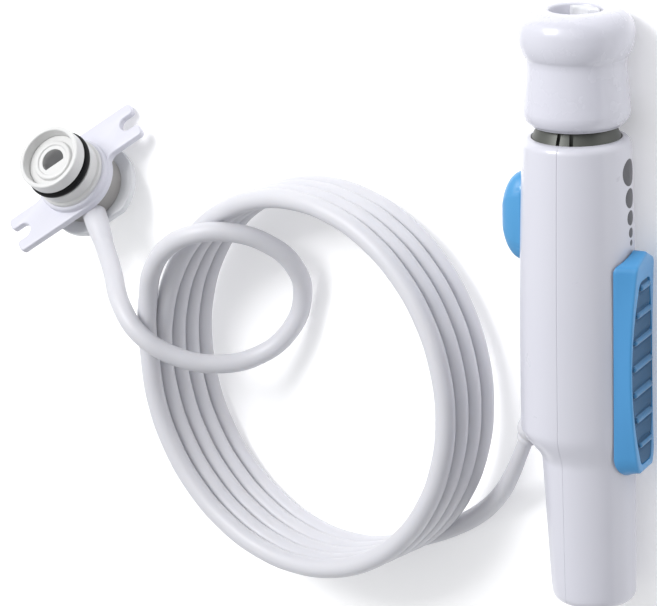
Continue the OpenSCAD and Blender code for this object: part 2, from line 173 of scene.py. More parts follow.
class Shape:
    """A mesh under construction, in millimetres in one local frame."""

    def __init__(self):
        self.points = []
        self.faces = []

    def add(self, points):
        start = len(self.points)
        self.points += [Vector(p) for p in points]
        return list(range(start, len(self.points)))

    def bridge(self, a, b, closed=True):
        for i in range(len(a) if closed else len(a) - 1):
            j = (i + 1) % len(a)
            self.faces.append([a[i], a[j], b[j], b[i]])

    def loft(self, rings, closed=True, caps=True):
        rows = [self.add(ring) for ring in rings]
        for a, b in zip(rows, rows[1:]):
            self.bridge(a, b, closed)
        if caps:
            self.faces.append(rows[0][::-1])
            self.faces.append(rows[-1])
        return rows

    def build(self, name, frame_matrix, crease=35):
        """The mesh object in the row frame, smooth except at edges sharper than `crease`."""
        mesh = bpy.data.meshes.new(name)
        mesh.from_pydata([frame_matrix @ p for p in self.points], [], self.faces)
        piece = bpy.data.objects.new(name, mesh)
        bpy.context.scene.collection.objects.link(piece)
        return shade(piece, crease)


def shade(piece, crease=35):
    """Joins doubled points, turns the faces outwards and marks the sharp edges."""
    bm = bmesh.new()
    bm.from_mesh(piece.data)
    bmesh.ops.remove_doubles(bm, verts=bm.verts, dist=2e-6)
    bmesh.ops.dissolve_degenerate(bm, edges=bm.edges, dist=1e-6)
    bmesh.ops.recalc_face_normals(bm, faces=bm.faces)
    limit = math.radians(crease)
    for face in bm.faces:
        face.smooth = True
    for edge in bm.edges:
        edge.smooth = len(edge.link_faces) == 2 and edge.calc_face_angle(0) < limit
    bm.to_mesh(piece.data)
    bm.free()
    return piece


def applied(piece):
    """The piece with its modifiers applied to its mesh."""
    bpy.context.view_layer.update()
    graph = bpy.context.evaluated_depsgraph_get()
    mesh = bpy.data.meshes.new_from_object(piece.evaluated_get(graph))
    piece.modifiers.clear()
    piece.data = mesh
    return piece


def cut(piece, cutter, crease=35):
    """The piece with the cutter taken away from it. The cutter is deleted."""
    boolean = piece.modifiers.new("cut", "BOOLEAN")
    boolean.operation = "DIFFERENCE"
    boolean.solver = "EXACT"
    boolean.object = cutter
    applied(piece)
    bpy.data.objects.remove(cutter)
    return shade(piece, crease)


def joined(name, pieces):
    """Several mesh objects made into one, which keeps the first one's place."""
    bm = bmesh.new()
    slots = []
    for p in pieces:
        start = len(bm.faces)
        bm.from_mesh(p.data)
        bm.faces.ensure_lookup_table()
        first = len(slots)
        slots += [m for m in p.data.materials] or [None]
        for face in bm.faces[start:]:
            face.material_index += first
    mesh = bpy.data.meshes.new(name)
    bm.to_mesh(mesh)
    bm.free()
    for m in slots:
        mesh.materials.append(m)
    for p in pieces:
        bpy.data.objects.remove(p)
    whole = bpy.data.objects.new(name, mesh)
    bpy.context.scene.collection.objects.link(whole)
    return whole


def lathe(profile, count=128, closed=True):
    """A shape turned about local X from (x, radius) points. A closed profile makes a ring."""
    shape = Shape()
    rings = []
    for x, radius in profile:
        angles = [math.tau * k / count for k in range(count)]
        rings.append([(x, -radius * math.sin(a), radius * math.cos(a)) for a in angles])
    if closed:
        rows = shape.loft(rings, caps=False)
        shape.bridge(rows[-1], rows[0])
    else:
        shape.loft(rings, caps=True)
    return shape


def upright(shape):
    """Turns a shape made about X so that its axis is Z."""
    shape.points = [Vector((-p.z, p.y, p.x)) for p in shape.points]
    return shape


def slab(outline, z0, z1, edge=0.4, count=3):
    """An outline in (x, y) made into a plate with rounded edges."""
    shape = Shape()
    low = [(edge - edge * math.cos(a), z0 + edge - edge * math.sin(a)) for a in quarter(count)]
    high = [(edge - edge * math.cos(a), z1 - edge + edge * math.sin(a)) for a in quarter(count)]
    rings = []
    for depth, z in low[::-1] + high:
        rings.append([(x, y, z) for x, y in inset(outline, depth)])
    shape.loft(rings)
    return shape


def quarter(count):
    """Angles from 0 to a right angle, both included."""
    return [math.pi / 2 * k / count for k in range(count + 1)]


# ---------------------------------------------------------------- materials

TONE_SCALE = 45.0
GLOSS_SCALE = 140.0
GRAIN_SCALE = 380.0
FINE_GRAIN = 0.000002
COARSE_GRAIN = 0.00001


def shader_of(material):
    return material.node_tree.nodes["Principled BSDF"]


def noise(tree, coordinates, scale, detail=3.0):
    node = tree.nodes.new("ShaderNodeTexNoise")
    node.inputs["Scale"].default_value = scale
    node.inputs["Detail"].default_value = detail
    tree.links.new(coordinates, node.inputs["Vector"])
    return node.outputs["Fac"]


def ranged(tree, value, low, high):
    node = tree.nodes.new("ShaderNodeMapRange")
    node.inputs["To Min"].default_value = low
    node.inputs["To Max"].default_value = high
    tree.links.new(value, node.inputs["Value"])
    return node.outputs["Result"]


def blended(tree, factor, first, second):
    node = tree.nodes.new("ShaderNodeMix")
    node.data_type = "RGBA"
    tree.links.new(factor, node.inputs["Factor"])
    node.inputs["A"].default_value = (*first, 1)
    node.inputs["B"].default_value = (*second, 1)
    return node.outputs["Result"]


def moulded(name, colour, tint, rough, depth=FINE_GRAIN, coat=0.0, metal=0.0):
    """A moulded surface: two close tones, uneven gloss and a fine grain."""
    material = bpy.data.materials.new(name)
    material.use_nodes = True
    tree = material.node_tree
    shader = shader_of(material)
    place = tree.nodes.new("ShaderNodeTexCoord").outputs["Object"]
    tone = ranged(tree, noise(tree, place, TONE_SCALE), 0.0, 1.0)
    tree.links.new(blended(tree, tone, colour, tint), shader.inputs["Base Color"])
    gloss = ranged(tree, noise(tree, place, GLOSS_SCALE, 5.0), *rough)
    tree.links.new(gloss, shader.inputs["Roughness"])
    bump = tree.nodes.new("ShaderNodeBump")
    bump.inputs["Distance"].default_value = depth
    bump.inputs["Strength"].default_value = 1.0
    tree.links.new(noise(tree, place, GRAIN_SCALE, 2.0), bump.inputs["Height"])
    tree.links.new(bump.outputs["Normal"], shader.inputs["Normal"])
    shader.inputs["Metallic"].default_value = metal
    shader.inputs["Coat Weight"].default_value = coat
    shader.inputs["Coat Roughness"].default_value = 0.06
    return material


def make_materials():
    white = moulded("shell_white", (0.62, 0.62, 0.69), (0.64, 0.64, 0.7), (0.25, 0.33), coat=0.3)
    knob = moulded("knob_white", (0.62, 0.62, 0.7), (0.64, 0.64, 0.7), (0.23, 0.31), coat=0.4)
    hose = moulded("hose_white", (0.61, 0.61, 0.65), (0.64, 0.64, 0.67),
                   (0.36, 0.48), depth=COARSE_GRAIN)
    shader_of(hose).inputs["Subsurface Weight"].default_value = 0.25
    shader_of(hose).inputs["Subsurface Radius"].default_value = (0.004, 0.0035, 0.003)
    # Black rubber for the seals; the neck ring's slot walls get it too, as painted shade.
    seal = moulded("seal_black", (0.005, 0.005, 0.006), (0.01, 0.01, 0.011), (0.42, 0.55))
    shader_of(seal).inputs["Specular IOR Level"].default_value = 0.15
    return {
        "shell_white": white,
        "knob_white": knob,
        "hose_white": hose,
        "socket_white": moulded("socket_white", (0.66, 0.67, 0.7), (0.7, 0.7, 0.72), (0.35, 0.45)),
        "bracket_white": moulded("bracket_white", (0.62, 0.62, 0.7), (0.65, 0.65, 0.71),
                                 (0.3, 0.42)),
        "spigot_white": moulded("spigot_white", (0.64, 0.64, 0.64), (0.68, 0.68, 0.67), (0.3, 0.4)),
        "nut_white": moulded("nut_white", (0.6, 0.61, 0.63), (0.66, 0.67, 0.69), (0.28, 0.38)),
        "body_grey": moulded("body_grey", (0.3, 0.29, 0.28), (0.34, 0.33, 0.32), (0.4, 0.5)),
        "valve_plastic": moulded("valve_plastic", (0.6, 0.62, 0.56), (0.66, 0.67, 0.6), (0.4, 0.5)),
        "button_blue": moulded("button_blue", (0.065, 0.29, 0.58), (0.07, 0.31, 0.6),
                               (0.28, 0.38), coat=0.2),
        "slider_blue": moulded("slider_blue", (0.065, 0.29, 0.6), (0.07, 0.31, 0.62),
                               (0.26, 0.36), coat=0.25),
        # The pad is drawn much darker than the slider: partly its own darker blue, partly painted shade for a face
        # that turns away from the light.
        "pad_blue": moulded("pad_blue", (0.012, 0.085, 0.19), (0.014, 0.095, 0.21),
                            (0.45, 0.55), depth=COARSE_GRAIN),
        "dot_grey": moulded("dot_grey", (0.07, 0.07, 0.08), (0.085, 0.085, 0.095), (0.35, 0.45)),
        # A lighter blue for the crests of the pad's ribs: a painted highlight, not a second colour of plastic.
        "rib_painted_highlight": moulded("rib_painted_highlight", (0.035, 0.19, 0.4), (0.04, 0.2, 0.42),
                            (0.28, 0.36), coat=0.3),
        "neck_grey": moulded("neck_grey", (0.085, 0.09, 0.08), (0.1, 0.105, 0.095),
                             (0.38, 0.48), metal=0.3),
        "spring_steel": moulded("spring_steel", (0.55, 0.55, 0.57), (0.6, 0.6, 0.62), (0.25, 0.35),
                                metal=1.0),
        "brass": moulded("brass", (0.65, 0.47, 0.2), (0.7, 0.52, 0.24), (0.25, 0.35), metal=1.0),
        "seal_black": seal,
    }


# ---------------------------------------------------------------- camera

VIEW_AZIMUTH = 24.6
VIEW_ELEVATION = 46.9
VIEW_ROLL = -110.1
VIEW_TARGET = Vector((-0.0184, 0.0994, 0))
VIEW_DISTANCE = 1.0
SENSOR_WIDTH = 36.0
LENS = 190.6


def make_camera():
    azimuth, elevation, roll = (math.radians(v) for v in (VIEW_AZIMUTH, VIEW_ELEVATION, VIEW_ROLL))
    flat = math.cos(elevation)
    towards = Vector((math.sin(azimuth) * flat, -math.cos(azimuth) * flat, math.sin(elevation)))
    level = Vector((0, 0, 1)).cross(towards).normalized()
    above = towards.cross(level)
    right = level * math.cos(roll) + above * math.sin(roll)
    up = above * math.cos(roll) - level * math.sin(roll)
    data = bpy.data.cameras.new("camera")
    data.sensor_fit = "HORIZONTAL"
    data.sensor_width = SENSOR_WIDTH
    data.lens = LENS
    data.clip_start = 0.01
    data.clip_end = 50
    camera = bpy.data.objects.new("camera", data)
    turn = Matrix((right, up, towards)).transposed().to_4x4()
    camera.matrix_world = Matrix.Translation(VIEW_TARGET + towards * VIEW_DISTANCE) @ turn
    bpy.context.scene.collection.objects.link(camera)
    bpy.context.scene.camera = camera
    return right, up, towards


# ---------------------------------------------------------------- hose

HOSE_R = 0.0028
COIL_TURNS = 4 + 1 / 3
COIL_FIRST = 210.0
POINTS_PER_TURN = 24
LEAD_PLACES = [
    (-0.0375, 0.015, 0.018), (-0.045, 0.020, 0.015), (-0.053, 0.026, 0.011),
    (-0.061, 0.033, 0.007), (-0.069, 0.042, 0.004), (-0.076, 0.053, 0.003),
]
LOOP_PLACES = [
    (-0.026, 0.145, 0.028), (-0.017, 0.144, 0.028), (-0.008, 0.140, 0.030), (0, 0.133, 0.031),
    (0.005, 0.124, 0.030), (0.006, 0.115, 0.025), (0.002, 0.107, 0.017), (-0.006, 0.103, 0.010),
    (-0.016, 0.104, 0.006), (-0.026, 0.108, 0.007), (-0.034, 0.116, 0.012), (-0.036, 0.125, 0.021),
    (-0.033, 0.134, 0.029), (-0.027, 0.142, 0.034), (-0.020, 0.150, 0.033), (-0.012, 0.160, 0.026),
    (-0.0055, 0.1675, 0.0215),
]


def coil_points():
    """The turns between the lead and the loop, inside the box of the coil's solid."""
    low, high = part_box("hose_coil")
    middle = (low + high) / 2
    radius = (high.x - low.x) / 2 - HOSE_R
    rise = high.z - low.z - 2 * HOSE_R
    count = round(COIL_TURNS * POINTS_PER_TURN)
    points = []
    for i in range(count + 1):
        angle = math.radians(COIL_FIRST) - math.tau * COIL_TURNS * i / count
        z = low.z + HOSE_R + rise * i / count
        points.append((middle.x + radius * math.cos(angle), middle.y + radius * math.sin(angle), z))
    return points


def lead_thickness(i):
    """The hose is drawn thinner where the gland grips it."""
    return lerp(0.72, 1.0, smooth(0, 5, i))


def make_hose(material):
    points = LEAD_PLACES + coil_points() + LOOP_PLACES
    curve = bpy.data.curves.new("hose", "CURVE")
    curve.dimensions = "3D"
    curve.bevel_depth = HOSE_R
    curve.bevel_resolution = 8
    curve.resolution_u = 6
    curve.use_fill_caps = True
    spline = curve.splines.new("BEZIER")
    spline.bezier_points.add(len(points) - 1)
    for i, (knot, place) in enumerate(zip(spline.bezier_points, points)):
        knot.co = place
        knot.handle_left_type = "AUTO"
        knot.handle_right_type = "AUTO"
        knot.radius = lead_thickness(i)
    hose = bpy.data.objects.new("hose", curve)
    bpy.context.scene.collection.objects.link(hose)
    curve.materials.append(material)
    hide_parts("hose_lead", "hose_coil", "hose_loop")
    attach(hose, "handle")
    return hose


# ---------------------------------------------------------------- handle shells

SHOULDER_X = -37.5
BASE_X = -80.2
GRIP_R = (12.6, 11.3)
GRIP_Y = (-2.9, -4.3)
BASE_ROUND = 2.6
BARREL_R = 15.4
TAPER_X = -10.0
TAPER_RATE = 54.0
BARREL_TOP = 47.9
RIM_ROUND = 2.3
MOUTH_R = 12.0
WALL = 2.0
SEAM_STEPS = [(0.0, 0.09), (0.04, 0.045), (0.09, 0.015), (0.16, 0.0), (0.4, 0.0)]
SEAM_GAP = 0.008


def barrel_at(x):
    return BARREL_R - (max(0.0, x - TAPER_X) / TAPER_RATE) ** 2


def station(x):
    """Centre offset and radius of the handle's round outline at x."""
    t = clamp((SHOULDER_X - x) / (SHOULDER_X - BASE_X), -0.1, 1)
    share = smooth(-40.3, -31, x)
    centre = lerp(lerp(*GRIP_Y, t), 0.0, share)
    return centre, lerp(lerp(*GRIP_R, t), barrel_at(x), share)


def shell_rows():
    """Rows of (x, centre, radius) for the outside, from the base's middle to the mouth."""
    y, r = station(BASE_X)
    flat = r - BASE_ROUND
    rows = [(BASE_X, y, k * flat / 6) for k in (0.02, 1, 2)]
    rows.append((BASE_X, y, -y))
    rows += [(BASE_X, y, k * flat / 6) for k in (3.5, 4.5, 5.5)]
    for x, radius in arc(BASE_X + BASE_ROUND, flat, -BASE_ROUND, BASE_ROUND, 0, 90, 7):
        rows.append((x, y, radius))
    start = BASE_X + BASE_ROUND
    for x in steps(start, -42, 2)[1:] + steps(-42, -29, 0.6)[1:] + steps(-29, 10, 1.5)[1:]:
        rows.append((x, *station(x)))
    rim_x = BARREL_TOP - RIM_ROUND
    for x in steps(10, 40, 0.3)[1:] + steps(40, rim_x, 0.8)[1:-1]:
        rows.append((x, *station(x)))
    flat = barrel_at(rim_x) - RIM_ROUND
    rows += [(x, 0.0, r) for r, x in arc(flat, rim_x, RIM_ROUND, RIM_ROUND, 0, 90, 8)]
    rows += [(BARREL_TOP - 0.06, 0.0, MOUTH_R - 0.06), (BARREL_TOP - 0.2, 0.0, MOUTH_R - 0.1)]
    return rows


def inner_rows(outer):
    """Rows for the inside, from the mouth back to the base's middle."""
    rows = [(BARREL_TOP - 2.2, 0.0, MOUTH_R - 0.1)]
    for x, y, r in reversed(outer):
        if BASE_X + BASE_ROUND < x < BARREL_TOP - 2.4 and r - WALL > 2:
            rows.append((x, y, r - WALL))
    rows = rows[::2] if len(rows) > 120 else rows
    y = station(BASE_X)[0]
    rows += [(BASE_X + WALL, y, k) for k in (7.5, -y, 2.0, 0.03)]
    return rows


def button_distance(x, z, grow=0.0):
    """Distance outside the button's outline, which is a straight slot with round ends."""
    dx = max(0.0, abs(x - BUTTON_X) - (BUTTON_HALF - BUTTON_W))
    return math.hypot(dx, z) - BUTTON_W - grow


def rim_depth(q, radius=0.7):
    """How far a rounded rim has dropped at distance q from its edge."""
    if q >= radius:
        return 0.0
    reach = clamp(radius - q, 0, radius * 0.98)
    return radius - math.sqrt(radius * radius - reach * reach)


def shell_ring(row, side, columns, outside):
    """One arc of a shell, from parting line to parting line."""
    x, y, r = row
    opening = math.asin(clamp(-y / max(r, 1e-6)))
    if side > 0:
        start, end = opening, math.pi - opening
    else:
        start, end = math.pi - opening, math.tau + opening
    length = max((end - start) * r, 1e-6)
    shrink = min(1.0, length / 6)
    near = [(s * shrink, d * shrink if outside else 0.0) for s, d in SEAM_STEPS]
    edge = near[-1][0]
    run = near + [(lerp(edge, length - edge, k / columns), 0.0) for k in range(1, columns)]
    run += [(length - s, d) for s, d in reversed(near)]
    ring = []
    for s, depth in run:
        angle = start + s / max(r, 1e-6)
        radius = r - depth
        point = Vector((x, y + radius * math.sin(angle), radius * math.cos(angle)))
        if s in (0.0, length):
            point.y += side * SEAM_GAP
        if outside and side > 0:
            point.y -= rim_depth(button_distance(x, point.z, 0.3))
        ring.append(point)
    return ring


def make_shell(name, side, columns):
    outer = shell_rows()
    pole = next(i for i, row in enumerate(outer) if row[2] == -row[1])
    inner = inner_rows(outer)
    inner_pole = next(i for i, row in enumerate(inner) if row[2] == -row[1])
    if side > 0:
        outer, inner = outer[pole:], inner[:inner_pole + 1]
        pole, inner_pole = 0, len(inner) - 1
    rings = [shell_ring(row, side, columns, True) for row in outer]
    rings += [shell_ring(row, side, columns, False) for row in inner]
    shape = Shape()
    rows = shape.loft(rings, closed=False, caps=False)
    wall = rows[pole:len(outer) + inner_pole + 1]
    shape.faces.append([row[0] for row in wall])
    shape.faces.append([row[-1] for row in wall][::-1])
    return shape.build(name, HANDLE, crease=30)


def capsule(x, half, width, count=40):
    """The outline of a straight slot with round ends, in (x, z)."""
    reach = half - width
    return arc(x + reach, 0, width, width, -90, 90, count // 2) + arc(
        x - reach, 0, width, width, 90, 270, count // 2)


def prism_back(outline, y0, y1):
    """An outline in (x, z) run from y0 to y1."""
    shape = Shape()
    shape.loft([[(x, y, z) for x, z in outline] for y in (y0, y1)])
    return shape


def make_shells(materials):
    back = make_shell("back_housing", 1, 150)
    hole = capsule(BUTTON_X, BUTTON_HALF + 0.3, BUTTON_W + 0.3)
    cut(back, prism_back(hole, 8, 30).build("hole", HANDLE))
    front = make_shell("front_housing", -1, 72)
    low, high = STEM_X[0] - 0.5, STEM_X[1] + 0.5
    slot = [(low, -2.9), (high, -2.9), (high, 2.9), (low, 2.9)]
    cut(front, prism_back(slot, -30, -8).build("slot", HANDLE))
    for piece, node in ((back, "back_shell"), (front, "front_shell")):
        dress(piece, materials["shell_white"], "handle", "shell_white", node)


def dress(piece, material, body, slot, *nodes):
    """Gives a finished piece its material, its body and the CAD nodes that it stands for."""
    if material is not None:
        piece.data.materials.clear()
        piece.data.materials.append(material)
    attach(piece, body)
    if nodes:
        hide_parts(*nodes)
    return piece


# ---------------------------------------------------------------- neck, dots, gland

COLLAR_SLOTS = (-4.0, 14.0)


def make_collar(materials):
    """The neck's ring: a flange inside the barrel, then a cone that narrows under the knob."""
    low, top = BARREL_TOP - 3.2, SKIRT_X + 0.5
    profile = rounded([
        (low, 9.4, 0), (low, 12.1, 0.2), (low + 1.1, 12.1, 0), (low + 1.1, 11.95, 0),
        (BARREL_TOP - 0.2, 11.8, 0.2), (SKIRT_X, 10.25, 0.5), (top, 10.2, 0), (top, 9.4, 0)],
        count=4)
    collar = lathe(profile, 160).build("neck_ring", HANDLE, crease=40)
    collar.data.materials.append(materials["neck_grey"])
    for half in (0, 180):
        for angle in COLLAR_SLOTS:
            cutter = Shape()
            corners = [(-0.5, 9.6), (0.5, 9.6), (0.5, 13), (-0.5, 13)]
            cutter.loft([[(x, y, z) for y, z in corners] for x in (BARREL_TOP - 0.4, top + 1)])
            turn = Matrix.Rotation(math.radians(half + angle), 4, "X")
            cutter.points = [turn @ p for p in cutter.points]
            tool = cutter.build("slot", HANDLE)
            # The cutter carries the black material so that the slot walls come out black: painted shade in the
            # slots.
            tool.data.materials.append(materials["seal_black"])
            cut(collar, tool, crease=40)
    web = lathe(rounded([
        (low + 2.2, 5.1, 0), (low + 3.7, 5.1, 0), (low + 3.7, 9.6, 0), (low + 2.2, 9.6, 0)]), 96)
    web = web.build("web", HANDLE)
    web.data.materials.append(materials["neck_grey"])
    collar = joined("neck_ring", [collar, web])
    dress(collar, None, "handle", "neck_grey", "neck_collar")


DOTS = [(39.2, 7.2), (32.3, 5.3), (27.0, 4.0), (23.0, 2.7), (20.3, 1.6)]


def make_dots(materials):
    """Round inlays that stand a hair proud of the barrel, each curved with it."""
    shape = Shape()
    for x, diameter in DOTS:
        radius = diameter / 2
        rings = [(0.0, -0.5), (0.0, 0.02), (0.07, 0.055), (0.2, 0.06)]
        rows = []
        for depth, lift in rings + [(radius * k, 0.06) for k in (0.4, 0.7, 0.97)]:
            ring = []
            for a in range(48):
                u = (radius - depth) * math.cos(math.tau * a / 48)
                w = (radius - depth) * math.sin(math.tau * a / 48)
                r = barrel_at(x + u) + lift
                ring.append((x + u, -math.sqrt(r * r - w * w), w))
            rows.append(ring)
        shape.loft(rows)
    dots = shape.build("flow_marks", HANDLE, 50)
    dress(dots, materials["dot_grey"], "handle", "dot_grey", "flow_dots")


def make_gland(materials):
    """The bead where the hose leaves: turned about the hose's own way out."""
    start = Vector(LEAD_PLACES[0])
    out = (Vector(LEAD_PLACES[1]) - start).normalized()
    seat = start - out * 0.0046
    place = frame_of(seat, out, out.orthogonal())
    profile = arc(0, 0, 3.7, 3.7, 180, 35, 14)
    profile = [(x, max(r, 0.02)) for x, r in profile]
    profile += rounded([
        (3.1, 2.35, 0), (3.9, 2.75, 0.5), (5.0, 2.85, 0.35), (5.1, 2.3, 0.1), (4.2, 2.2, 0)],
        closed=False, count=4)
    profile += [(4.2, 0.02)]
    piece = lathe(profile, 64, closed=False).build("hose_bead", place, crease=40)
    dress(piece, materials["hose_white"], "handle", "hose_white", "hose_gland")


# ---------------------------------------------------------------- knob and socket

KNOB_TOP = 81.75
SKIRT_X = 51.2
SKIRT_R = 14.25
WAIST_R = 13.15
DOME_X = 75.4
DOME_R = 15.3
DOME_POWER = 2.35


def dome_arc(height, low, high, count):
    """Part of the dome's outline, a little fuller than an ellipse's, angles in degrees."""
    out = []
    for k in range(count + 1):
        a = math.radians(lerp(low, high, k / count))
        across = abs(math.cos(a)) ** (2 / DOME_POWER)
        along = math.copysign(abs(math.sin(a)) ** (2 / DOME_POWER), a)
        out.append((DOME_X + height * along, DOME_R - 6.6 + 6.6 * across))
    return out


def knob_profile():
    """(x, radius) from the skirt's inside, round the outside and down into the mouth."""
    skirt = [(x, r) for r, x in arc(10.8, SKIRT_X + 4.2, 3.45, 4.2, -66, 0, 11)]
    waist = [(x, lerp(SKIRT_R, WAIST_R, smooth(52, 70, x))) for x in steps(57.0, 67.4, 1.3)]
    under = [(x, r) for r, x in arc(DOME_R - 5.85, DOME_X, 5.85, 8.3, -49, 0, 12)]
    dome = dome_arc(KNOB_TOP - DOME_X, 6, 82, 14)
    mouth = rounded([
        (KNOB_TOP, 8.2, 0), (KNOB_TOP - 0.1, 7.1, 0.7), (77.6, 6.6, 0.2), (77.4, 5.0, 0)],
        closed=False, count=6)
    inside = [(61.0, 5.0), (61.0, 11.6), (SKIRT_X + 0.4, 11.6), (SKIRT_X, 11.9)]
    return skirt + waist + under + dome + mouth + inside


def make_knob(materials):
    knob = lathe(knob_profile(), 160).build("turning_knob", HANDLE, crease=50)
    dress(knob, materials["knob_white"], "knob", "knob_white", "tip_knob")


def make_socket(materials):
    """The tube that takes a jet tip, with the raised half ring that keys the tip."""
    tube = lathe([
        (34.1, 1.3), (34.1, 4.95), (48.7, 4.95), (48.7, 7.9), (49.8, 7.9), (49.8, 4.95),
        (77.3, 4.95), (77.6, 4.7), (77.6, 3.3), (77.3, 3.05), (38.0, 3.05), (38.0, 1.3)], 96)
    tube = tube.build("tube", HANDLE)
    key = Shape()
    rings = []
    for k in range(33):
        angle = math.radians(lerp(95, 215, k / 32))
        corners = rounded([
            (76.6, 3.1, 0), (76.6, 6.4, 0), (81.4, 6.3, 0.5), (81.4, 3.4, 0.5)], count=4)
        rings.append([(x, -r * math.sin(angle), r * math.cos(angle)) for x, r in corners])
    key.loft(rings)
    socket = joined("socket_tube", [tube, key.build("key", HANDLE)])
    dress(socket, materials["socket_white"], "knob", "socket_white", "tip_socket")


# ---------------------------------------------------------------- eject button

BUTTON_X = 25.2
BUTTON_HALF = 12.0
BUTTON_W = 5.6
BUTTON_EDGE = 14.2
BUTTON_CROWN = 20.75


def button_height(x, z):
    """Height of the button's crown above the handle's axis."""
    along = abs((x - BUTTON_X) / (BUTTON_HALF + 0.25)) ** 2.15
    across = abs(z / (BUTTON_W + 0.35)) ** 2.4
    return BUTTON_EDGE + (BUTTON_CROWN - BUTTON_EDGE) * clamp(1 - along - across) ** (1 / 2.15)


def make_button(materials):
    outline = capsule(BUTTON_X, BUTTON_HALF, BUTTON_W, 80)
    rings = [[(x, 10.7, z) for x, z in outline]]
    shares = [math.cos(a) for a in (math.pi / 2 * k / 26 for k in range(27))]
    for share in [1.0] + [max(s, 0.004) for s in shares[1:]]:
        ring = []
        for x, z in outline:
            u, w = BUTTON_X + (x - BUTTON_X) * share, z * share
            ring.append((u, button_height(u, w), w))
        rings.append(ring)
    shape = Shape()
    shape.loft(rings)
    cap = shape.build("button_cap", HANDLE, 50)
    dress(cap, materials["button_blue"], "button", "button_blue", "eject_button")


# ---------------------------------------------------------------- flow slider

SLIDER_X = (-43.0, 18.4)
SLIDER_W = 8.5
SLIDER_TOP = 19.5
SLIDER_UNDER = 15.7
SLIDER_FOOT = 12.0
OUTLINE_POINTS = 260
SADDLE_LOW = 18.1
SADDLE_R = 330.0
STEM_X = (-18.0, 8.0)
PAD_X = -14.5
PAD_HALF = 25.2
PAD_W = 7.6
PAD_CURVE_R = 80.0
PAD_END_W = 3.5
TOP_W = 8.4
TOP_CURVE_R = 200.0
RIB_FIRST = -34.0
RIB_STEP = 7.15
RIB_COUNT = 7
RIB_R = 0.85
PAD_FOOT = 16.85


def slider_height(x):
    """Height of the slider's saddle above the handle's axis."""
    middle = (SLIDER_X[0] + SLIDER_X[1]) / 2
    return min(SLIDER_TOP - 0.05, SADDLE_LOW + (x - middle) ** 2 / (2 * SADDLE_R))


def pad_width(x):
    return PAD_W - (x - PAD_X) ** 2 / (2 * PAD_CURVE_R)


def slider_outline():
    """The slider's foot: square to the base with round corners, pointed to the knob."""
    low, high = SLIDER_X
    w = SLIDER_W
    loop = rounded([
        (high, 0, 1.0), (high - 2.9, w - 0.7, 1.0), (high - 4.0, w, 1.2), (low, w, 6.0),
        (low, -w, 6.0), (high - 4.0, -w, 1.2), (high - 2.9, 0.7 - w, 1.0)], count=12)
    return resampled(loop[6:] + loop[:6], OUTLINE_POINTS)


def slider_top_outline(foot):
    """The foot drawn in towards both ends, which makes the side walls lean there."""
    low, high = SLIDER_X
    middle = (low + high) / 2
    out = []
    for x, z in foot:
        reach = TOP_W - (x - middle) ** 2 / (2 * TOP_CURVE_R)
        x = min(max(x, low + 1.2), high - 1.2 + 1.2 * smooth(SLIDER_W, 0, abs(z)))
        out.append((x, z * reach / SLIDER_W))
    return out


def pad_outline(grow=0.0):
    """The pad's lens, from its knob end round towards +Z."""
    low, high = PAD_X - PAD_HALF, PAD_X + PAD_HALF
    side = [(x, pad_width(x) + grow) for x in steps(high - 1.2, low + 1.2, 1.5)]
    knob_end = [(high + grow, 0), (high + grow, PAD_END_W - 0.9),
                (high - 0.3 + grow * 0.7, PAD_END_W + grow * 0.7)]
    base_end = [(low + 0.3 - grow * 0.7, PAD_END_W + grow * 0.7), (low - grow, PAD_END_W - 0.9)]
    half = knob_end + side + base_end
    loop = half + [(x, -z) for x, z in reversed(half[1:])]
    return resampled(loop, OUTLINE_POINTS)


def make_slider(materials):
    foot = slider_outline()
    top = slider_top_outline(foot)
    rings = [[(x, -SLIDER_FOOT, z) for x, z in foot],
             [(x, -math.sqrt(SLIDER_UNDER ** 2 - z * z) - 0.25, z) for x, z in foot]]
    for t in (0.2, 0.4, 0.6, 0.8):
        ring = []
        for (x0, z0), (x1, z1) in zip(foot, top):
            bottom = math.sqrt(SLIDER_UNDER ** 2 - z0 * z0) + 0.25
            crest = slider_height(x1) - 0.7
            ring.append((lerp(x0, x1, t), -lerp(bottom, crest, t), lerp(z0, z1, t)))
        rings.append(ring)
    edge = 0.7
    for a in quarter(5):
        depth, drop = edge - edge * math.cos(a), edge - edge * math.sin(a)
        rings.append([(x, -(slider_height(x) - drop), z) for x, z in inset(top, depth)])
    groove = pad_outline(0.12)
    around = inset(top, edge)
    for t in (0.5, 1.0):
        mixed = [(lerp(a[0], b[0], t), lerp(a[1], b[1], t)) for a, b in zip(around, groove)]
        rings.append([(x, -slider_height(x), z) for x, z in mixed])
    rings.append([(x, -slider_height(x) + 0.15, z) for x, z in pad_outline(0.02)])
    rings.append([(x, -slider_height(x) + 0.9, z) for x, z in pad_outline(0.0)])
    shape = Shape()
    shape.loft(rings)
    piece = shape.build("slider_cap", HANDLE, 40)
    x0, x1 = SLIDER_X[0] - 5, SLIDER_X[1] + 5
    profile = [(x0, 0.02), (x0, SLIDER_UNDER), (x1, SLIDER_UNDER), (x1, 0.02)]
    hollow = lathe(profile, 256, closed=False)
    cut(piece, hollow.build("hollow", HANDLE), crease=40)
    dress(piece, materials["slider_blue"], "slider", "slider_blue", "flow_slider")


def rib_height(x, z):
    """Height of the ribs and of the narrow groove round each, above the pad."""
    best = 0.0
    for i in range(RIB_COUNT):
        rib_x = RIB_FIRST + i * RIB_STEP
        if abs(x - rib_x) > 3:
            continue
        reach = pad_width(rib_x) - 1.65
        d = math.hypot(x - rib_x, max(0.0, abs(z) - reach))
        crest = RIB_R * math.sqrt(max(0.0, 1 - (d / RIB_R) ** 2))
        ditch = -0.3 * math.exp(-((d - 1.25) / 0.4) ** 2)
        best = crest if crest > 0.05 else ditch
    return best


